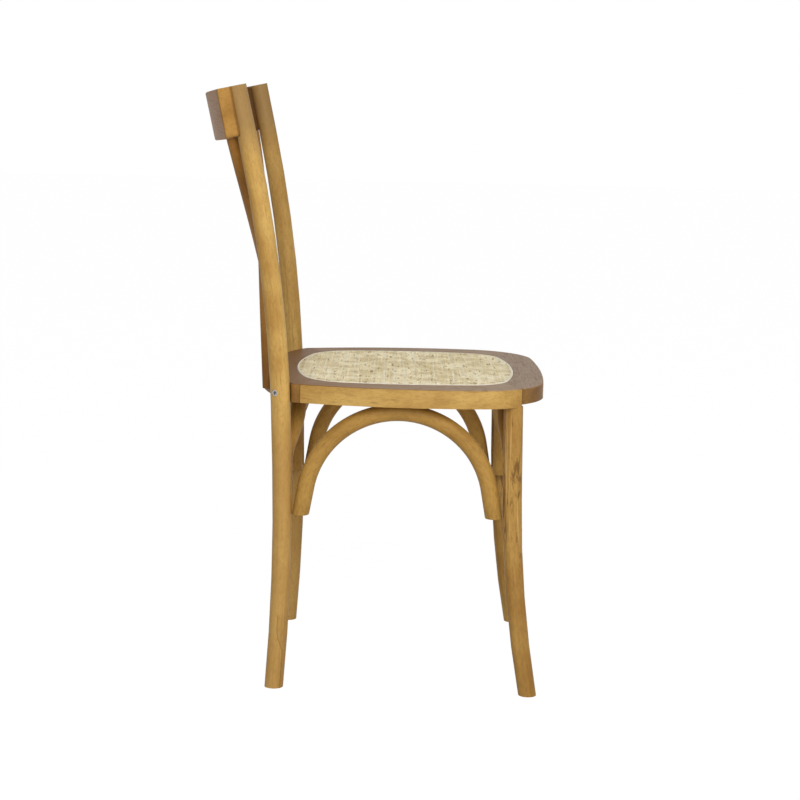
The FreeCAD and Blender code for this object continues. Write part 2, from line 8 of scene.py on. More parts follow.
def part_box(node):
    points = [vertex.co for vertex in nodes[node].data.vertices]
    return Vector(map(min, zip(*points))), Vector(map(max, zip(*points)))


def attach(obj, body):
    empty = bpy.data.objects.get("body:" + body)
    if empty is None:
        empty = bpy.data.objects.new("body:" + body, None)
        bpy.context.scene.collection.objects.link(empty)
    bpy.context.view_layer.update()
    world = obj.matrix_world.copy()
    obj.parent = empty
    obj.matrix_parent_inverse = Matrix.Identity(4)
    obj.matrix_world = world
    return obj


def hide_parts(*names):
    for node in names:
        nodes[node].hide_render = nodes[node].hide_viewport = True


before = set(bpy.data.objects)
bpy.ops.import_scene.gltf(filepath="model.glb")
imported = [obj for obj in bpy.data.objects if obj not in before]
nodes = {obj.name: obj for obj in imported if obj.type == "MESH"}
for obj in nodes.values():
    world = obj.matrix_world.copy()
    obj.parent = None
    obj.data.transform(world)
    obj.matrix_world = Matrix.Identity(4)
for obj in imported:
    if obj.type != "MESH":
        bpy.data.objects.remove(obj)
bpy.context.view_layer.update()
print("frame loaded:", len(nodes), "pieces")

# Places that the looks are built around, read from the frame in metres
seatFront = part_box("seat_front_rail")[0].y
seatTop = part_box("cane_panel")[0].z
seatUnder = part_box("seat_side_rail_left")[0].z

beyond = 9.0  # further off than any place on the chair
slopeStep = 0.0005  # half the stretch over which a bend's slope is measured
mixFirst, mixSecond, mixResult = 6, 7, 2  # sockets of a Mix node that is set to colours


def connect(node, inputs):
    for name, value in inputs.items():
        if isinstance(value, Wire):
            node.id_data.links.new(value.socket, node.inputs[name])
        else:
            node.inputs[name].default_value = value


# A shader socket that can be added, multiplied and raised to a power like a number
class Wire:
    def __init__(self, tree, socket):
        self.tree = tree
        self.socket = socket

    def node(self, kind, settings=None, inputs=None, out=0):
        made = self.tree.nodes.new(kind)
        for name, value in (settings or {}).items():
            setattr(made, name, value)
        connect(made, inputs or {})
        return Wire(self.tree, made.outputs[out])

    def math(self, operation, *values):
        return self.node("ShaderNodeMath", {"operation": operation}, dict(enumerate(values)))

    def __add__(self, other):
        return self.math("ADD", self, other)

    def __sub__(self, other):
        return self.math("SUBTRACT", self, other)

    def __rsub__(self, other):
        return self.math("SUBTRACT", other, self)

    def __mul__(self, other):
        return self.math("MULTIPLY", self, other)

    def __truediv__(self, other):
        return self.math("DIVIDE", self, other)

    def __rtruediv__(self, other):
        return self.math("DIVIDE", other, self)

    def __pow__(self, other):
        return self.math("POWER", self, other)

    def __rpow__(self, other):
        return self.math("POWER", other, self)

    def __abs__(self):
        return self.math("ABSOLUTE", self)

    __radd__ = __add__
    __rmul__ = __mul__

    def between(self, low, high):
        return self.math("MINIMUM", self.math("MAXIMUM", self, low), high)

    def ramped(self, start, end):  # 0 at the start and 1 at the end, whichever of them is higher
        return self.node("ShaderNodeMapRange", {"interpolation_type": "SMOOTHSTEP"},
                         {"Value": self, "From Min": start, "From Max": end})

    def split(self):  # a place's x, y and z
        return [self.node("ShaderNodeSeparateXYZ", None, {"Vector": self}, way) for way in "XYZ"]

    def vector(self, x, y, z):
        return self.node("ShaderNodeCombineXYZ", None, {"X": x, "Y": y, "Z": z})

    def noise(self, scale, detail, roughness, distortion):
        return self.node("ShaderNodeTexNoise", None,
                         {"Vector": self, "Scale": scale, "Detail": detail,
                          "Roughness": roughness, "Distortion": distortion})

    def bumped(self, strength, distance):
        return self.node("ShaderNodeBump", None,
                         {"Height": self, "Strength": strength, "Distance": distance})

    def coloured(self, low, high):  # this value as a mix of two colours, plain ones or wires
        low, high = (value if isinstance(value, Wire) else (*value, 1) for value in (low, high))
        return self.node("ShaderNodeMix", {"data_type": "RGBA"},
                         {"Factor": self, mixFirst: low, mixSecond: high}, mixResult)


def limited(value, low, high):  # for a wire or a plain number
    if isinstance(value, Wire):
        return value.between(low, high)
    return min(max(value, low), high)


def fromBytes(red, green, blue):  # a colour as a screen shows it (sRGB), turned into light
    return tuple((c / 255 / 12.92) if c <= 10 else ((c / 255 + 0.055) / 1.055) ** 2.4
                 for c in (red, green, blue))


def newMaterial(name):
    made = bpy.data.materials.new(name)
    made.use_nodes = True
    shader = made.node_tree.nodes["Principled BSDF"]
    start = Wire(made.node_tree, shader.outputs[0])
    place = start.node("ShaderNodeTexCoord", out="Object")
    return made, shader, place


# A look's colour is laid on in layers. In the look's dictionary a layer's name is its colour. With
# Scale after the name it is how fine the layer's noise is in three directions, with Noise that
# noise's detail, roughness and distortion, with Range where the layer comes in, and with Share how
# strongly
def layerNoise(spot, look, name, shift=(0.0, 0.0, 0.0)):
    stretched = [way * scale + move for way, scale, move in zip(spot, look[name + "Scale"], shift)]
    return spot[0].vector(*stretched).noise(1.0, *look[name + "Noise"])


def layer(pattern, body, look, name, mask=1.0):
    shown = pattern.ramped(*look[name + "Range"]) * (mask * look[name + "Share"])
    return shown.coloured(body, look[name])


# Stained wood: soft blotches, streaks, mottling and pores that run along the piece
wood = {
    "light": fromBytes(205, 167, 95), "dark": fromBytes(168, 126, 62),
    "broadScale": (26.0, 26.0, 3.0), "broadNoise": (3.0, 0.5, 0.4), "broadRange": (0.32, 0.68),
    "broadShare": 0.6,
    "cloudScale": 18.0, "cloudNoise": (2.0, 0.5, 0.0), "cloudRange": (0.3, 0.7),
    "streak": fromBytes(126, 88, 42), "streakScale": (190.0, 190.0, 4.0),
    "streakNoise": (4.0, 0.6, 0.9), "streakRange": (0.52, 0.78), "streakShare": 0.5,
    "mottle": fromBytes(126, 88, 42), "mottleScale": (260.0, 260.0, 110.0),
    "mottleNoise": (3.0, 0.7, 0.5), "mottleRange": (0.45, 0.62), "mottleShare": 0.22,
    "pore": fromBytes(104, 72, 32), "poreScale": (900.0, 900.0, 26.0),
    "poreNoise": (2.0, 0.6, 0.2), "poreRange": (0.60, 0.74), "poreShare": 0.35,
    "roughness": 0.48, "roughnessSwing": 0.08, "sheen": 0.15,
    "bump": 0.12, "bumpDistance": 0.001, "streakHeight": 0.6, "poreHeight": 0.4,
}


# Where the grain runs comes from follow, and over is a further layer on top of the wood, which paints
# stain and, for some pieces, painted shade and painted reflection
def woodMaterial(name, follow, seed, tint=1.0, changes=None, over=None):
    look = wood | (changes or {})
    made, shader, place = newMaterial(name)
    split = place.split()
    spot = across, depth, along = follow(*split)
    broad, streak, pore, mottle = (
        layerNoise(spot, look, kind, (seed * times, seed * -times, seed))
        for kind, times in (("broad", 1), ("streak", 2), ("pore", 3), ("mottle", 1)))
    cloud = place.vector(across + seed, depth, along).noise(look["cloudScale"],
                                                            *look["cloudNoise"])
    tone = (broad.ramped(*look["broadRange"]) * look["broadShare"]
            + cloud.ramped(*look["cloudRange"]) * (1 - look["broadShare"])).between(0.0, 1.0)
    body = tone.coloured(look["dark"], look["light"])
    for pattern, kind in ((streak, "streak"), (mottle, "mottle"), (pore, "pore")):
        body = layer(pattern, body, look, kind)
    body = place.node("ShaderNodeHueSaturation", None, {"Color": body, "Value": tint})
    if over:
        body = over(split, body, pore)
    height = streak * look["streakHeight"] + pore * look["poreHeight"]
    swing = look["roughnessSwing"]
    connect(shader, {"Base Color": body, "Roughness": tone * -swing + (look["roughness"] + swing / 2),
                     "Normal": height.bumped(look["bump"], look["bumpDistance"]),
                     "Specular IOR Level": look["sheen"]})
    return made


# How the grain follows each kind of piece: across, depth and along, in metres
post = {"halfTrack": 0.189, "fromFront": 0.3889, "lean": 0.0314, "rake": 0.2199, "rakeStart": 0.400,
        "rakeEnd": 0.805, "splay": 0.0769, "splayStart": 0.400, "splayEnd": 0.560,
        "kick": 0.018, "kickStart": 0.330}
leg = {"halfTrack": 0.187, "fromFront": 0.0518, "lean": 0.01746, "splay": 0.0227,
       "kick": 0.025, "kickOut": 0.008, "kickStart": 0.290}
crest = {"grainRadius": 0.784, "faceRadius": 0.776}


def bendRun(z, start, end, slope):
    bent = limited(z - start, 0.0, end - start)
    rest = limited(z - end, 0.0, beyond)
    return bent * bent * (slope / (2 * (end - start))) + rest * slope


def kickRun(z, start, size):
    under = limited(start - z, 0.0, beyond)
    return under * under * (size / start ** 2)


def postBack(z):  # how far back the middle of a rear post lies at a height
    straight = (z - seatUnder) * post["lean"] + (seatFront + post["fromFront"])
    raked = bendRun(z, post["rakeStart"], post["rakeEnd"], post["rake"] - post["lean"])
    return straight + raked + kickRun(z, post["kickStart"], post["kick"])


def alongPost(x, y, z):
    middleX = bendRun(z, post["splayStart"], post["splayEnd"], post["splay"]) + post["halfTrack"]
    return abs(x) - middleX, y - postBack(z), z


def alongLeg(x, y, z):
    middleX = (seatUnder - z) * leg["splay"] + leg["halfTrack"]
    middleX = middleX + kickRun(z, leg["kickStart"], leg["kickOut"])
    middleY = (z - seatUnder) * leg["lean"] + (seatFront + leg["fromFront"])
    middleY = middleY - kickRun(z, leg["kickStart"], leg["kick"])
    return abs(x) - middleX, y - middleY, z


def alongX(x, y, z):
    return z, y, x


def alongY(x, y, z):
    return x, z, y


def alongCrest(x, y, z):
    return z, y + x * x / (2 * crest["grainRadius"]), x


# The seat ring's top is painted greyer than its sides, a painted reflection of the white surroundings
# at a glancing angle, and darker brown towards the rear, painted shade. Glue lines show at its four
# joints, each given as a point and a direction, and a painted shadow darkens the seat in a ring round
# the posts
seatLook = {
    # topFront and topRear: painted reflection, greyer at the front, and painted shade, darker brown
    # at the rear
    "topFront": fromBytes(165, 140, 114), "topRear": fromBytes(126, 88, 46),
    "topRun": (0.02, 0.42), "topShare": 0.88, "topEdge": 0.0014,
    "mottle": fromBytes(132, 98, 66), "mottleScale": (70.0, 70.0, 20.0),
    "mottleNoise": (4.0, 0.6, 0.6), "mottleRange": (0.48, 0.66), "mottleShare": 0.6,
    "fibre": fromBytes(104, 78, 54), "fibreRange": (0.45, 0.7), "fibreShare": 0.75,
    "line": fromBytes(84, 54, 26), "lineRange": (0.0012, 0.00036), "lineShare": 0.55,
    "lineFade": 0.7,
    # gap is a painted shadow in a ring round each post
    "gap": fromBytes(58, 32, 12), "gapRange": (0.0176, 0.0147), "gapShare": 0.85,
    "joints": (((0.21083, 0.0333), (-0.9135, 0.4067)), ((0.19982, 0.3608), (-0.9455, -0.3256))),
}


def seatJointsShadeAndReflection(split, body, pore):
    x, y, z = split
    # Painted reflection on the top, greyer at the front, and painted shade, darker brown towards the
    # rear
    top = (y - seatFront).ramped(*seatLook["topRun"]).coloured(seatLook["topFront"],
                                                               seatLook["topRear"])
    top = layer(layerNoise(split, seatLook, "mottle"), top, seatLook, "mottle")
    top = layer(pore, top, seatLook, "fibre")
    upper = z.ramped(seatTop - seatLook["topEdge"], seatTop - seatLook["topEdge"] / 2)
    body = (upper * seatLook["topShare"]).coloured(body, top)
    for (startX, fromFront), (wayX, wayY) in seatLook["joints"]:
        away = (abs(x) - startX) * -wayY + (y - (seatFront + fromFront)) * wayX
        body = layer(abs(away), body, seatLook, "line", upper * -seatLook["lineFade"] + 1.0)
    # Painted shadow: darker in a ring round each post
    across, depth, _ = alongPost(x, y, z)
    return layer((across * across + depth * depth) ** 0.5, body, seatLook, "gap")


# The crest rail is painted darker in front, painted shade, and greyer behind, a painted reflection of
# the white surroundings at a glancing angle, and its sawn ends have darker borders along their edges,
# painted shade
crestLook = {"front": fromBytes(100, 69, 38), "back": fromBytes(172, 130, 92),
             "turnRange": (-0.002, 0.002), "faceShare": 0.85, "endRange": (0.0055, 0.010),
             "backTopZ": 0.8636, "halfThick": 0.0102,
             "grain": fromBytes(112, 82, 58), "grainScale": (26.0, 26.0, 420.0),
             "grainNoise": (4.0, 0.65, 0.5), "grainRange": (0.46, 0.66), "grainShare": 0.5,
             "edgeShade": fromBytes(108, 70, 34), "edgeShadeRange": (0.0074, 0.0098),
             "edgeShadeShare": 0.65}


def crestShadeReflectionAndGrain(split, body, pore):
    x, y, z = split
    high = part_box("crest_rail")[1]
    middle = high.y - crestLook["backTopZ"] * post["rake"] - crestLook["halfThick"]
    behind = y + x * x / (2 * crest["faceRadius"]) - z * post["rake"] - middle
    # Painted shade on the front face and painted reflection on the back face
    face = behind.ramped(*crestLook["turnRange"]).coloured(crestLook["front"], crestLook["back"])
    face = layer(layerNoise(split, crestLook, "grain"), face, crestLook, "grain")
    # Painted shade along the front and back edges of the sawn ends
    body = layer(abs(behind), body, crestLook, "edgeShade")
    inner = (high.x - abs(x)).ramped(*crestLook["endRange"])
    return (inner * crestLook["faceShare"]).coloured(body, face)


# The posts are painted darker up where the crest rail is let in, and below the seat: painted shade
postLook = {"top": fromBytes(138, 108, 68), "topRange": (0.765, 0.835), "topShare": 0.7,
            "low": fromBytes(163, 122, 66), "lowRange": (0.44, 0.33), "lowShare": 0.5}

# The near post also shows the edge of a growth ring low down, with darker wood on one side of it
ringLook = {"low": -0.0088, "high": 0.0012, "rise": (0.050, 0.088), "end": (0.116, 0.106),
            "waver": 0.003, "waverScale": 90.0, "waverNoise": (2.0, 0.55, 0.0),
            "sap": fromBytes(122, 80, 40), "sapRange": (0.0004, -0.0004), "sapShare": 0.18,
            "line": fromBytes(122, 80, 40), "lineRange": (0.0011, 0.0002), "lineShare": 0.5}


def postShade(split, body, pore):
    height = split[2]
    body = layer(height, body, postLook, "top")
    return layer(height, body, postLook, "low")


def ringStainAndShade(split, body, pore):
    height = split[2]
    # The posts' painted shade, then the growth ring, which is the wood's own
    body = postShade(split, body, pore)
    middle = height.ramped(*ringLook["rise"]) * (ringLook["high"] - ringLook["low"])
    waver = height.vector(0.0, 0.0, height).noise(ringLook["waverScale"], *ringLook["waverNoise"])
    middle = middle + ringLook["low"] + (waver - 0.5) * ringLook["waver"]
    beside = alongPost(*split)[1] - middle
    shown = height.ramped(*ringLook["end"])
    body = layer(beside, body, ringLook, "sap", shown)
    return layer(abs(beside), body, ringLook, "line", shown)


# The legs' upper ends have a darker, ragged figure and some pale lines; their feet are plain
legLook = {"figured": (0.12, 0.26),
           "ragged": fromBytes(98, 66, 32), "raggedScale": (95.0, 95.0, 17.0),
           "raggedNoise": (4.0, 0.65, 1.2), "raggedRange": (0.51, 0.64), "raggedShare": 0.75,
           "pale": fromBytes(214, 178, 118), "paleScale": (260.0, 260.0, 7.0),
           "paleNoise": (2.0, 0.5, 0.4), "paleRange": (0.60, 0.70), "paleShare": 0.55,
           "paleShift": (3.0, 0.0, 0.0)}


def legStain(split, body, pore):
    spot = alongLeg(*split)
    figured = split[2].ramped(*legLook["figured"])
    ragged = layerNoise(spot, legLook, "ragged")
    pale = layerNoise(spot, legLook, "pale", legLook["paleShift"])
    body = layer(ragged, body, legLook, "ragged", figured)
    return layer(pale, body, legLook, "pale", figured)


# The cross rods are painted darker towards the seat: painted shade, where the posts shade them
rodLook = {"low": fromBytes(128, 84, 38), "lowRange": (0.56, 0.42), "lowShare": 0.65}


def rodShade(split, body, pore):
    return layer(split[2], body, rodLook, "low")


# Warmer stains of some pieces
legTones = {"light": fromBytes(203, 160, 86), "dark": fromBytes(162, 117, 54),
            "streak": fromBytes(120, 90, 54), "streakScale": (120.0, 120.0, 3.0),
            "streakRange": (0.48, 0.64), "streakShare": 0.2, "mottle": fromBytes(120, 90, 54),
            "sheen": 0.12}
braceTones = {"light": fromBytes(203, 157, 80), "dark": fromBytes(160, 114, 50), "sheen": 0.13}
rodTones = {"light": fromBytes(194, 138, 64), "dark": fromBytes(150, 100, 42), "sheen": 0.13}
endRailTones = {"light": fromBytes(194, 146, 80), "dark": fromBytes(150, 106, 54), "sheen": 0.12}
crestTones = {"light": fromBytes(196, 148, 76), "dark": fromBytes(158, 112, 50),
              "broadScale": (14.0, 14.0, 3.0), "streakShare": 0.25, "sheen": 0.08}

# Pieces that keep their mesh: material, how the grain runs, seed, tint, tones and a further layer of
# stain, painted shade and painted reflection
dressed = {
    "rear_post_left": ("postWood_left", alongPost, 3.7, 0.96, None, postShade),
    "front_leg_left": ("legWood_left", alongLeg, 14.7, 0.84, legTones, legStain),
    "seat_side_rail_left": ("seatSideWood_left", alongY, 8.7, 0.98, None, seatJointsShadeAndReflection),
    "rear_post_right": ("postWood_right", alongPost, 7.4, 1.08, None, ringStainAndShade),
    "front_leg_right": ("legWood_right", alongLeg, 18.4, 0.87, legTones, legStain),
    "seat_side_rail_right": ("seatSideWood_right", alongY, 12.4, 0.98, None, seatJointsShadeAndReflection),
    # The seat's front and rear rails have low tints: painted shade
    "seat_front_rail": ("seatFrontWood", alongX, 7.3, 0.57, endRailTones, seatJointsShadeAndReflection),
    "seat_rear_rail": ("seatRearWood", alongX, 9.9, 0.66, endRailTones, seatJointsShadeAndReflection),
    "crest_rail": ("crestWood", alongCrest, 12.4, 0.88, crestTones, crestShadeReflectionAndGrain),
    "seat_joint_tongues": ("tongueWood", alongX, 15.0),
}


def dress(node, material):
    mesh = nodes[node].data
    mesh.materials.clear()
    mesh.materials.append(material)


for node, finish in dressed.items():
    dress(node, woodMaterial(*finish))
print("wood done")


def placed(name, data):
    thing = bpy.data.objects.new(name, data)
    bpy.context.scene.collection.objects.link(thing)
    return thing


def finished(name, mesh):  # a bmesh as a new object
    data = bpy.data.meshes.new(name)
    mesh.to_mesh(data)
    mesh.free()
    print(name, len(data.polygons), "faces")
    return placed(name, data)


def standsFor(piece, node, material):
    piece.data.materials.append(material)
    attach(piece, "root")
    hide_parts(node)


# Pieces that are drawn again here more smoothly, from a grid wrapped round a line of rings
skinned = {"weld": 0.000001, "easeSteps": 2, "capCorners": 6}


def ringAt(centre, way, radius, reference, around):
    side = reference.cross(way).normalized()
    above = way.cross(side).normalized()
    turns = [2 * math.pi * index / around for index in range(around)]
    return [centre + (side * math.cos(turn) + above * math.sin(turn)) * radius for turn in turns]


def skin(name, rings, closed=False, cuts=(), ease=0.0):
    count = len(rings) if closed else len(rings) - 1
    around = len(rings[0])
    mesh = bmesh.new()
    made = bmesh.ops.create_grid(mesh, x_segments=count, y_segments=around, size=1.0)
    for vertex in made["verts"]:
        step = round((vertex.co.x + 1) / 2 * count) % len(rings)
        turn = round((vertex.co.y + 1) / 2 * around) % around
        vertex.co = rings[step][turn]
    bmesh.ops.remove_doubles(mesh, verts=mesh.verts[:], dist=skinned["weld"])
    for point, normal in cuts:
        bmesh.ops.bisect_plane(mesh, geom=mesh.verts[:] + mesh.edges[:] + mesh.faces[:],
                               plane_co=point, plane_no=normal, clear_outer=True)
    rims = [edge for edge in mesh.edges if edge.is_boundary]
    if rims:
        bmesh.ops.edgeloop_fill(mesh, edges=rims)
        bmesh.ops.bevel(mesh, geom=rims, offset=ease, offset_type="OFFSET",
                        segments=skinned["easeSteps"], profile=0.5, affect="EDGES", material=-1)
    bmesh.ops.recalc_face_normals(mesh, faces=mesh.faces[:])
    for face in mesh.faces:
        face.smooth = len(face.verts) < skinned["capCorners"]
        if not face.smooth:
            for edge in face.edges:
                edge.smooth = False
    return finished(name, mesh)


# Bentwood braces: sawn level at the feet, flared, and round over the shoulders
brace = {"radius": 0.0125, "flare": math.radians(10.0), "endCorner": 0.120, "swayLow": 0.335,
         "swayHigh": 0.400, "around": 36, "steps": 30, "footEase": 0.0009, "leastFlat": 0.0005}

# Each brace's name, whether it runs along y, the seed of its grain and its tint
braces = {"side_brace_left": ("sideBraceLeft", True, 11.7, 0.93),
          "side_brace_right": ("sideBraceRight", True, 15.4, 0.75),
          "front_brace": ("frontBrace", False, 6.1, 0.84),
          "rear_brace": ("rearBrace", False, 1.6, 0.84)}


def braceShape(node, runsAlongY):
    low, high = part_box(node)
    radius, flare = brace["radius"], brace["flare"]
    run, off = (1, 0) if runsAlongY else (0, 1)
    halfSpan = (high[run] - low[run]) / 2 - radius
    foot, crown = low.z, high.z - radius
    if runsAlongY:
        corner = (halfSpan - (crown - foot) * math.tan(flare)) / (
            math.cos(flare) + (math.sin(flare) - 1) * math.tan(flare))
        footOff = crownOff = (low[off] + high[off]) / 2
    else:
        corner = brace["endCorner"]
        footOff, crownOff = low[off] + radius, high[off] - radius
        if low[off] > 0:
            footOff, crownOff = crownOff, footOff
    spring = crown - corner
    rise = spring + corner * math.sin(flare) - foot
    hub = halfSpan - rise * math.tan(flare) - corner * math.cos(flare)
    return {"halfSpan": halfSpan, "foot": foot, "corner": corner, "spring": spring,
            "hub": max(0.0, hub), "middle": (low[run] + high[run]) / 2, "runsAlongY": runsAlongY,
            "footOff": footOff, "crownOff": crownOff}


def sway(shape, z):
    share = limited((z - brace["swayLow"]) / (brace["swayHigh"] - brace["swayLow"]), 0.0, 1.0)
    return shape["footOff"] + (shape["crownOff"] - shape["footOff"]) * share ** 2 * (3 - 2 * share)


def makeBrace(name, shape):
    reference = Vector((1, 0, 0)) if shape["runsAlongY"] else Vector((0, 1, 0))

    def place(run, off, z):
        return Vector((off, run, z)) if shape["runsAlongY"] else Vector((run, off, z))

    half = [(shape["halfSpan"], shape["foot"], 1.0, 0.0)]
    for index in range(brace["steps"] + 1):
        angle = brace["flare"] + (math.pi / 2 - brace["flare"]) * index / brace["steps"]
        half.append((shape["hub"] + shape["corner"] * math.cos(angle),
                     shape["spring"] + shape["corner"] * math.sin(angle),
                     math.cos(angle), -math.sin(angle)))
    other = [(-run, z, -rising, sideways) for run, z, rising, sideways in half]
    if shape["hub"] < brace["leastFlat"]:
        other.pop()
    rings = []
    for run, z, rising, sideways in half + other[::-1]:
        slope = (sway(shape, z + slopeStep) - sway(shape, z - slopeStep)) / (2 * slopeStep)
        centre = place(run + shape["middle"], sway(shape, z), z)
        way = place(sideways, slope * rising, rising)
        rings.append(ringAt(centre, way.normalized(), brace["radius"], reference, brace["around"]))
    return skin(name, rings, ease=brace["footEase"])


def alongBrace(shape):
    def follow(x, y, z):
        run, off = (y, x) if shape["runsAlongY"] else (x, y)
        reach = (abs(run - shape["middle"]) - shape["hub"]).between(0.0, beyond)
        rise = z - shape["spring"]
        radius = (reach * reach + rise * rise) ** 0.5
        angle = z.math("ARCTAN2", rise, reach)
        crown = abs(run - shape["middle"]).between(0.0, shape["hub"])
        return radius, off, angle * shape["corner"] - crown
    return follow


for node, (name, runsAlongY, seed, tint) in braces.items():
    shape = braceShape(node, runsAlongY)
    material = woodMaterial(name + "Wood", alongBrace(shape), seed, tint, braceTones)
    standsFor(makeBrace(name, shape), node, material)
print("braces done")


# Cross rods, cut off at the crest rail's underside and above the seat's underside
# The rods' low tint is painted shade, where the posts shade them
rod = {"radius": 0.009, "setBack": 0.0225, "top": 0.80654, "cross": 0.612, "low": 0.433,
       "topX": 0.200, "lowX": 0.105, "topSlope": 0.45, "crossSlope": 1.25, "straight": 0.024,
       "around": 32, "steps": 90, "shoulderZ": 0.80346, "ease": 0.0004,
       "lengthPerRise": 1.3, "tint": 0.76}

# Each rod's name, the side it rises to and the seed of its grain
rods = {"cross_rod_right_to_left": ("crossRodRightToLeft", 1.0, 2.1),
        "cross_rod_left_to_right": ("crossRodLeftToRight", -1.0, 4.4)}


def easedRun(z, high, low, xHigh, xLow, slopeHigh, slopeLow):  # eased between two heights
    span = high - low
    t = limited((high - z) / span, 0.0, 1.0)
    square = t * t
    cube = square * t
    return (cube * 2 - square * 3 + 1) * xHigh + (square * 3 - cube * 2) * xLow \
        + (cube - square * 2 + t) * (span * slopeHigh) + (cube - square) * (span * slopeLow)


def rodAside(z):
    high = easedRun(z, rod["top"], rod["cross"], -rod["topX"], 0.0, rod["topSlope"],
                    rod["crossSlope"])
    low = easedRun(z, rod["cross"], rod["low"], 0.0, rod["lowX"], rod["crossSlope"], 0.0)
    return high + low - limited(z - rod["top"], 0.0, beyond) * rod["topSlope"]


def alongRod(side):
    def follow(x, y, z):
        return x * side - rodAside(z), y - postBack(z), z * rod["lengthPerRise"]
    return follow


def makeRod(name, side):
    def centre(z):
        return Vector((rodAside(z) * side, postBack(z) + rod["setBack"], z))

    bottom, top = rod["low"] - rod["straight"] / 2, rod["top"] + rod["straight"]
    rings = []
    for index in range(rod["steps"] + 1):
        z = bottom + (top - bottom) * index / rod["steps"]
        way = (centre(z + slopeStep) - centre(z - slopeStep)).normalized()
        rings.append(ringAt(centre(z), way, rod["radius"], Vector((0, 1, 0)), rod["around"]))
    rakeWay = Vector((0, post["rake"], 1)).normalized()
    cuts = ((centre(rod["shoulderZ"]), rakeWay), (Vector((0, 0, rod["low"])), Vector((0, 0, -1))))
    return skin(name, rings, cuts=cuts, ease=rod["ease"])


for node, (name, side, seed) in rods.items():
    material = woodMaterial(name + "Wood", alongRod(side), seed, rod["tint"], rodTones, rodShade)
    standsFor(makeRod(name, side), node, material)
print("cross rods done")


# Plated steel of the bolts and nuts, with a dark disc painted in each bolt's head where its socket
# is: painted shade
steel = {"bolt": fromBytes(178, 176, 174), "nut": fromBytes(180, 180, 182),
         "socket": fromBytes(52, 48, 45), "boltRoughness": 0.32, "nutRoughness": 0.4,
         "headX": 0.20013, "headFromFront": 0.39668, "headWay": (-0.8387, -0.5446),
         "socketRange": (0.0020, 0.0024)}


def steelMaterial(name, colour, roughness, socketed=False):
    made, shader, place = newMaterial(name)
    fill = (*colour, 1)
    if socketed:
        # Painted shade: darker in a disc at the middle of each bolt head
        x, y, z = place.split()
        wayX, wayY = steel["headWay"]
        aside = (abs(x) - steel["headX"]) * -wayY + (y - (seatFront + steel["headFromFront"])) * wayX
        rise = z - (seatTop + seatUnder) / 2
        reach = (aside * aside + rise * rise) ** 0.5
        fill = reach.ramped(*steel["socketRange"]).coloured(steel["socket"], colour)
    connect(shader, {"Base Color": fill, "Metallic": 1.0, "Roughness": roughness})
    return made


dress("post_bolts", steelMaterial("boltSteel", steel["bolt"], steel["boltRoughness"], True))
dress("post_nuts", steelMaterial("nutSteel", steel["nut"], steel["nutRoughness"]))
print("steel done")


# Outline of the groove's outer wall, as eight arcs that run into each other
groove = {"halfWidth": 0.179, "frontBorder": 0.043, "length": 0.3318, "widestShare": 0.5,
          "sideRadius": 0.640, "frontRadius": 0.540, "rearRadius": 0.455, "frontCorner": 0.062,
          "rearCorner": 0.080, "stepLength": 0.004}


# Where two circles meet, which is the middle of a corner's arc that runs into both
def cornerHub(first, firstRadius, second, secondRadius):
    gap = second - first
    along = (gap.length ** 2 + firstRadius ** 2 - secondRadius ** 2) / (2 * gap.length)
    aside = math.sqrt(firstRadius ** 2 - along ** 2)
    foot = first + gap.normalized() * along
    across = Vector((-gap.y, gap.x, 0)).normalized() * aside
    return max((foot + across, foot - across), key=lambda point: point.x)


def heading(start, goal):
    return math.atan2(goal.y - start.y, goal.x - start.x)


def grooveRim(inset):
    frontY = seatFront + groove["frontBorder"]
    rearY = frontY + groove["length"]
    side = Vector((groove["halfWidth"] - groove["sideRadius"],
                   frontY + groove["length"] * groove["widestShare"], 0))
    front = Vector((0, frontY + groove["frontRadius"], 0))
    rear = Vector((0, rearY - groove["rearRadius"], 0))
    hubs = []
    for end, radius, corner in ((front, groove["frontRadius"], groove["frontCorner"]),
                                (rear, groove["rearRadius"], groove["rearCorner"])):
        hubs.append(cornerHub(side, groove["sideRadius"] - corner, end, radius - corner))
    turns = [-math.pi / 2, heading(front, hubs[0]), heading(side, hubs[0]), heading(side, hubs[1]),
             heading(rear, hubs[1]), math.pi / 2]
    arcs = ((front, groove["frontRadius"]), (hubs[0], groove["frontCorner"]),
            (side, groove["sideRadius"]), (hubs[1], groove["rearCorner"]),
            (rear, groove["rearRadius"]))
    half = []
    for (hub, radius), start, end in zip(arcs, turns, turns[1:]):
        steps = max(2, round((end - start) * radius / groove["stepLength"]))
        for index in range(steps):
            turn = start + (end - start) * index / steps
            half.append(hub + Vector((math.cos(turn), math.sin(turn), 0)) * (radius - inset))
    half.append(Vector((0, rearY - inset, 0)))
    return half + [Vector((-point.x, point.y, 0)) for point in half[-2:0:-1]]


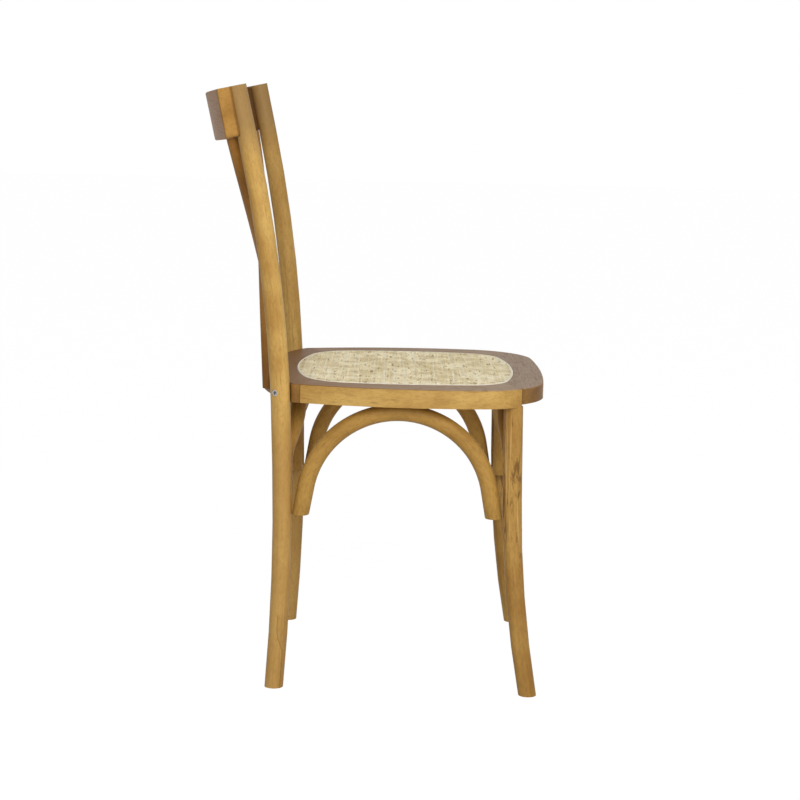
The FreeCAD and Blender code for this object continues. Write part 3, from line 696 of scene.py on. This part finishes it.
# Woven cane: pairs of strands both ways, with two sets of diagonals between the pairs
cane = {
    "pitch": 0.015, "pairGap": 0.0046, "strandWidth": 0.0029, "diagonalWidth": 0.0032,
    "thickness": 0.0006, "wave": 0.0005, "diagonalWave": 0.0007, "lift": 0.0007,
    "edgeTuck": 0.0004, "underBead": 0.0034, "stepsPerPitch": 4, "leastSteps": 4,
    "rimLift": 0.0005, "rimWave": 0.25, "rimRun": 0.018,
    "pale": fromBytes(253, 244, 212), "deep": fromBytes(208, 188, 132), "patchShare": 0.6,
    "patchScale": 30.0, "patchNoise": (3.0, 0.6, 0.0), "patchRange": (0.36, 0.64),
    "fibreScale": (700.0, 700.0, 50.0), "fibreNoise": (2.0, 0.55, 0.0), "fibreRange": (0.3, 0.7),
    "fleck": fromBytes(156, 128, 74), "fleckScale": (42.0, 170.0, 20.0),
    "fleckNoise": (3.0, 0.6, 0.8), "fleckRange": (0.56, 0.68), "fleckShare": 0.9,
    "line": fromBytes(255, 250, 228), "lineScale": (5.0, 330.0, 0.0),
    "lineNoise": (2.0, 0.5, 0.0), "lineRange": (0.56, 0.66), "lineShare": 0.5,
    "roughness": 0.45, "patchRoughness": 0.1, "sheen": 0.4, "bump": 0.1, "bumpDistance": 0.001,
}


def chordOf(rim, start, way):  # where a line enters and leaves the outline
    found = []
    for first, second in zip(rim, rim[1:] + rim[:1]):
        edge = second - first
        cross = way.x * edge.y - way.y * edge.x
        if math.isclose(cross, 0.0, abs_tol=1e-12):
            continue
        gap = first - start
        share = (gap.x * way.y - gap.y * way.x) / cross
        if 0 <= share < 1:
            found.append((gap.x * edge.y - gap.y * edge.x) / cross)
    return (min(found), max(found)) if len(found) > 1 else None


def addStrand(mesh, rim, start, way, width, height):
    reach = chordOf(rim, start, way)
    if reach is None or reach[1] - reach[0] < cane["pitch"]:
        return
    low, high = reach[0] + cane["edgeTuck"], reach[1] - cane["edgeTuck"]
    steps = max(cane["leastSteps"], round((high - low) / cane["pitch"] * cane["stepsPerPitch"]))
    side = Vector((-way.y, way.x, 0)) * (width / 2)
    made = bmesh.ops.create_grid(mesh, x_segments=steps, y_segments=1, size=1.0)
    for vertex in made["verts"]:
        share = (vertex.co.x + 1) / 2
        along = low + (high - low) * share
        place = start + way * along
        across = side if vertex.co.y > 0 else -side
        inside = limited(min(along - low, high - along) / cane["rimRun"], 0.0, 1.0)
        lift = cane["rimLift"] + (cane["lift"] - cane["rimLift"]) * inside
        vertex.co = place + across
        vertex.co.z = seatTop + lift + height(place) * (
            cane["rimWave"] + (1 - cane["rimWave"]) * inside)


def weaveCane():
    rim = grooveRim(cane["underBead"])
    lowX, highX = min(p.x for p in rim), max(p.x for p in rim)
    lowY, highY = min(p.y for p in rim), max(p.y for p in rim)
    pitch, gap = cane["pitch"], cane["pairGap"] / 2
    middle = Vector(((lowX + highX) / 2, (lowY + highY) / 2, 0))
    turn = 2 * math.pi / pitch
    straight, slanted = bmesh.new(), bmesh.new()
    count = math.ceil(max(highX - lowX, highY - lowY) / 2 / pitch) + 1
    for index in range(-count, count + 1):
        for sign in (1, -1):
            offset = index * pitch - sign * gap
            addStrand(straight, rim, middle + Vector((offset, 0, 0)), Vector((0, 1, 0)),
                      cane["strandWidth"],
                      lambda p, s=sign: -s * cane["wave"] * math.sin(turn * (p.y - middle.y)))
            addStrand(straight, rim, middle + Vector((0, offset, 0)), Vector((1, 0, 0)),
                      cane["strandWidth"],
                      lambda p, s=sign: s * cane["wave"] * math.sin(turn * (p.x - middle.x)))
    for index in range(-2 * count, 2 * count):
        offset = (index + 0.5) * pitch
        for sign in (1, -1):
            addStrand(slanted, rim, middle + Vector((offset, 0, 0)),
                      Vector((1, sign, 0)).normalized(), cane["diagonalWidth"],
                      lambda p, s=sign: s * cane["diagonalWave"] * math.cos(turn * (p.x - middle.x)))
    for mesh in (straight, slanted):
        bmesh.ops.solidify(mesh, geom=mesh.faces[:], thickness=cane["thickness"])
        bmesh.ops.recalc_face_normals(mesh, faces=mesh.faces[:])
    return finished("caneStraightStrands", straight), finished("caneDiagonalStrands", slanted)


def caneMaterial():
    made, shader, place = newMaterial("wovenCane")
    split = place.split()
    patch = place.noise(cane["patchScale"], *cane["patchNoise"])
    fibre, fleck, line = (layerNoise(split, cane, kind) for kind in ("fibre", "fleck", "line"))
    tone = (patch.ramped(*cane["patchRange"]) * cane["patchShare"]
            + fibre.ramped(*cane["fibreRange"]) * (1 - cane["patchShare"])).between(0.0, 1.0)
    body = tone.coloured(cane["deep"], cane["pale"])
    body = layer(fleck, body, cane, "fleck")
    body = layer(line, body, cane, "line")
    connect(shader, {"Base Color": body,
                     "Roughness": patch * cane["patchRoughness"] + cane["roughness"],
                     "Normal": fibre.bumped(cane["bump"], cane["bumpDistance"]),
                     "Specular IOR Level": cane["sheen"]})
    return made


caneLook = caneMaterial()
for piece in weaveCane():
    standsFor(piece, "cane_panel", caneLook)
print("cane woven")


# Reed bead that holds the cane in its groove
bead = {"width": 0.0040, "proud": 0.0007, "below": 0.004, "profileSteps": 10, "wallGap": 0.0003,
        "colour": fromBytes(252, 246, 228), "shade": fromBytes(240, 230, 204),
        "patchScale": 120.0, "patchNoise": (3.0, 0.6, 0.0), "patchRange": (0.3, 0.7),
        "roughness": 0.5}


def makeBead():
    half = bead["width"] / 2
    middle = grooveRim(bead["wallGap"] + half)
    spring = seatTop + bead["proud"] - half
    profile = [(-half, seatTop - bead["below"])]
    for index in range(bead["profileSteps"] + 1):
        angle = math.pi * index / bead["profileSteps"]
        profile.append((-half * math.cos(angle), spring + half * math.sin(angle)))
    profile.append((half, seatTop - bead["below"]))
    rings = []
    for index, point in enumerate(middle):
        edge = middle[(index + 1) % len(middle)] - middle[index - 1]
        inward = Vector((-edge.y, edge.x, 0)).normalized()
        rings.append([point + inward * offset + Vector((0, 0, level)) for offset, level in profile])
    return skin("reedBead", rings, closed=True)


def beadMaterial():
    made, shader, place = newMaterial("paleReed")
    tone = place.noise(bead["patchScale"], *bead["patchNoise"]).ramped(*bead["patchRange"])
    connect(shader, {"Base Color": tone.coloured(bead["shade"], bead["colour"]),
                     "Roughness": bead["roughness"]})
    return made


standsFor(makeBead(), "cane_bead", beadMaterial())
print("bead done")


# Floor, lamps and world
studio = {"floorSize": 30.0, "floorColour": 0.75, "floorRoughness": 0.9, "floorGlow": 0.93,
          "floorWhite": 1.05, "worldLight": 0.32, "aim": (0, 0, 0.45),
          "keyPower": 78.0, "keySize": 2.0, "keyPlace": (-2.9, -0.45, 1.8),
          "fillPower": 7.0, "fillSize": 2.5, "fillPlace": (-0.6, -3.0, 1.6)}


def seenRays(start):  # 1 for rays from the camera and those that gloss or glass sends on
    path = [start.node("ShaderNodeLightPath", out=name) for name in
            ("Is Camera Ray", "Is Glossy Ray", "Is Transmission Ray")]
    return start.math("MAXIMUM", path[0], start.math("MAXIMUM", path[1], path[2]))


def makeFloor():
    mesh = bmesh.new()
    bmesh.ops.create_grid(mesh, x_segments=1, y_segments=1, size=studio["floorSize"] / 2)
    floor = finished("floor", mesh)
    made, shader, place = newMaterial("paleFloor")
    connect(shader, {"Base Color": (*(studio["floorColour"],) * 3, 1),
                     "Roughness": studio["floorRoughness"], "Specular IOR Level": 0.0})
    white = place.node("ShaderNodeEmission", None, {"Color": (1, 1, 1, 1),
                                                    "Strength": studio["floorWhite"]})
    mixed = place.node("ShaderNodeMixShader", None, {0: seenRays(place) * studio["floorGlow"],
                                                     1: Wire(place.tree, shader.outputs[0]),
                                                     2: white})
    connect(place.tree.nodes["Material Output"], {"Surface": mixed})
    floor.data.materials.append(made)


def makeLamp(name, place, size, power):
    data = bpy.data.lights.new(name, "AREA")
    data.shape = "SQUARE"
    data.size = size
    data.energy = power
    lamp = placed(name, data)
    lamp.location = place
    lamp.rotation_mode = "QUATERNION"
    lamp.rotation_quaternion = (Vector(studio["aim"]) - Vector(place)).to_track_quat("-Z", "Y")


def makeWorld():
    world = bpy.data.worlds.new("studio")
    world.use_nodes = True
    bpy.context.scene.world = world
    background = world.node_tree.nodes["Background"]
    start = Wire(world.node_tree, background.outputs[0])
    strength = seenRays(start) * (1.0 - studio["worldLight"]) + studio["worldLight"]
    connect(background, {"Color": (1, 1, 1, 1), "Strength": strength})


makeFloor()
makeWorld()
makeLamp("keyLamp", studio["keyPlace"], studio["keySize"], studio["keyPower"])
makeLamp("fillLamp", studio["fillPlace"], studio["fillSize"], studio["fillPower"])
print("studio done")

# Camera at the photograph's side view, a little above the seat
view = {"place": (-3.02593, 0.22539, 0.88735), "yaw": -0.0032, "pitch": -0.1589, "roll": 0.0231,
        "focalPixels": 1986.74, "framePixels": 800, "sensor": 36.0, "clipEnd": 100.0}


def makeCamera():
    data = bpy.data.cameras.new("camera")
    camera = placed("camera", data)
    yaw, pitch, roll = view["yaw"], view["pitch"], view["roll"]
    forward = Vector((math.cos(pitch) * math.cos(yaw), math.cos(pitch) * math.sin(yaw),
                      math.sin(pitch)))
    level = forward.cross(Vector((0, 0, 1))).normalized()
    above = level.cross(forward)
    right = level * math.cos(roll) + above * math.sin(roll)
    up = above * math.cos(roll) - level * math.sin(roll)
    turn = Matrix((right, up, -forward)).transposed().to_4x4()
    x, fromFront, z = view["place"]
    camera.matrix_world = Matrix.Translation((x, seatFront + fromFront, z)) @ turn
    data.sensor_width = view["sensor"]
    data.lens = view["sensor"] * view["focalPixels"] / view["framePixels"]
    data.clip_end = view["clipEnd"]
    bpy.context.scene.camera = camera


makeCamera()
bpy.context.scene.view_settings.view_transform = "Standard"
